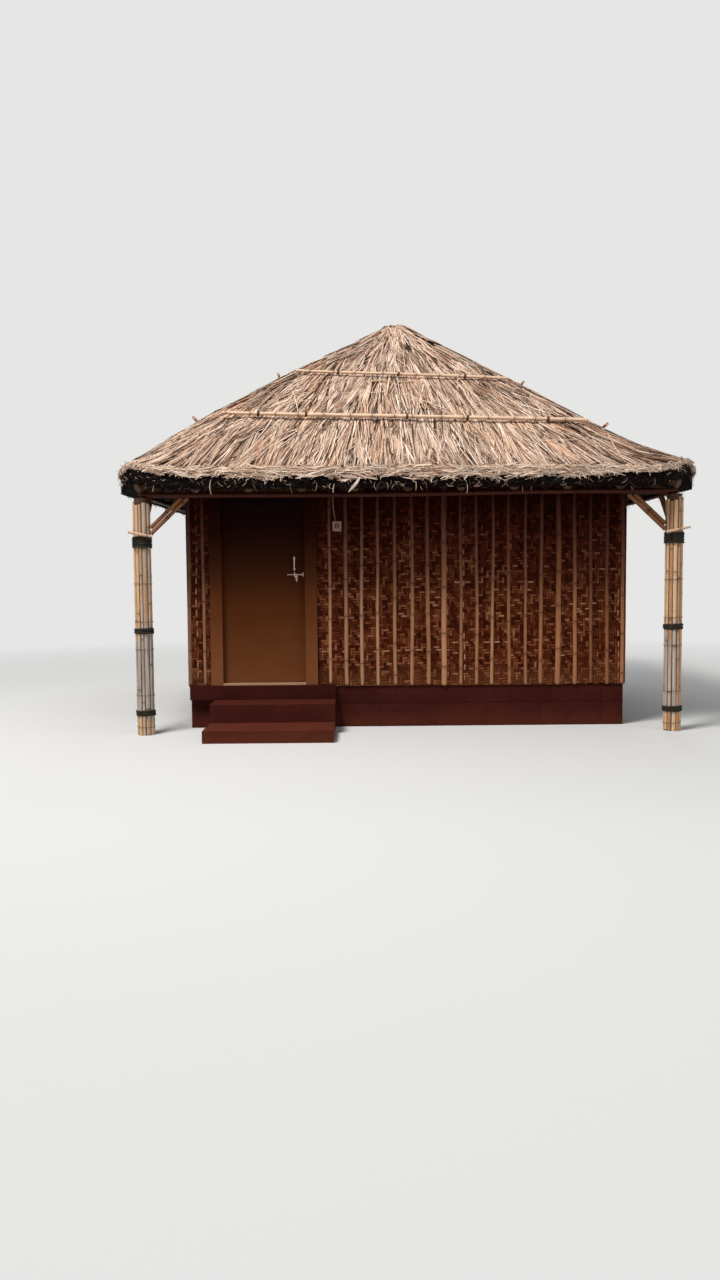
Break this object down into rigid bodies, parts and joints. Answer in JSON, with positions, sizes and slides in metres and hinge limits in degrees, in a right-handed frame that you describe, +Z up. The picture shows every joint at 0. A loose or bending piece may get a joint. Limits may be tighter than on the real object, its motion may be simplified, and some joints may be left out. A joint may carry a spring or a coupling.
{
  "type": "bamboo hut",
  "caption": "Square hut of woven bamboo mat on a painted plinth, with steps to a hinged door, slat-clad posts under the eaves and a pyramid roof of palm thatch.",
  "frame": {"origin": "on the ground, in the middle of the square plinth", "axes": "+Z up; -Y towards the front, where the door and the steps are; +X to the right seen from the front"},
  "size_m": [6.12, 6.45, 4.8905],
  "materials": {
    "plinth_paint": "matte",
    "step_paint": "matte",
    "screed": "matte",
    "bamboo_mat": "matte",
    "split_bamboo": "satin",
    "bamboo_pole": "satin",
    "eave_bamboo": "satin",
    "roof_bamboo": "satin",
    "post_log": "matte",
    "post_slat": "satin",
    "tie_cord": "matte",
    "frame_wood": "satin",
    "leaf_wood": "satin",
    "threshold_wood": "matte",
    "dull_steel": "satin",
    "hinge_steel": "satin",
    "box_plastic": "matte",
    "palm_thatch": "matte"
  },
  "bodies": {
    "hut": {"plinth": "plinth_paint", "floor": "screed", "door_landing": "plinth_paint", "upper_step": "step_paint", "lower_step": "step_paint", "front_wall_left": "bamboo_mat", "front_wall_right": "bamboo_mat", "front_wall_over_door": "bamboo_mat", "left_wall": "bamboo_mat", "right_wall": "bamboo_mat", "back_wall": "bamboo_mat", "front_battens_left": "split_bamboo", "front_battens_right": "split_bamboo", "left_battens": "split_bamboo", "right_battens": "split_bamboo", "back_battens": "split_bamboo", "front_wall_posts": "bamboo_pole", "left_wall_posts": "bamboo_pole", "right_wall_posts": "bamboo_pole", "back_wall_posts": "bamboo_pole", "wall_plates": "bamboo_pole", "door_jamb_left": "frame_wood", "door_jamb_right": "frame_wood", "door_head": "frame_wood", "door_threshold": "threshold_wood", "frame_hinges": "hinge_steel", "switch_box": "box_plastic", "box_lead": "box_plastic", "post_front_left": "post_log", "post_front_right": "post_log", "post_back_left": "post_log", "post_back_right": "post_log", "post_slats": "post_slat", "post_ties": "tie_cord", "knee_braces": "eave_bamboo", "eave_poles": "eave_bamboo", "hip_rafters": "bamboo_pole", "roof_frame_front": "bamboo_pole", "roof_frame_right": "bamboo_pole", "roof_frame_back": "bamboo_pole", "roof_frame_left": "bamboo_pole", "thatch_front": "palm_thatch", "thatch_right": "palm_thatch", "thatch_back": "palm_thatch", "thatch_left": "palm_thatch", "binding_poles": "roof_bamboo", "peak_tuft": "palm_thatch"},
    "door": {"door_leaf": "leaf_wood", "leaf_hinges": "hinge_steel", "pull_handle": "dull_steel", "bolt_staples": "dull_steel"},
    "bolt": {"slide_bolt": "dull_steel"}
  },
  "joints": [
    {"name": "door_hinge", "type": "hinge", "parent": "hut", "child": "door", "pos_m": [-2.013, -2.298, 0.496], "axis": [0, 0, 1], "range_deg": [0, 95]},
    {"name": "bolt_slide", "type": "slide", "parent": "door", "child": "bolt", "axis": [1, 0, 0], "range_m": [0, 0.05]}
  ]
}
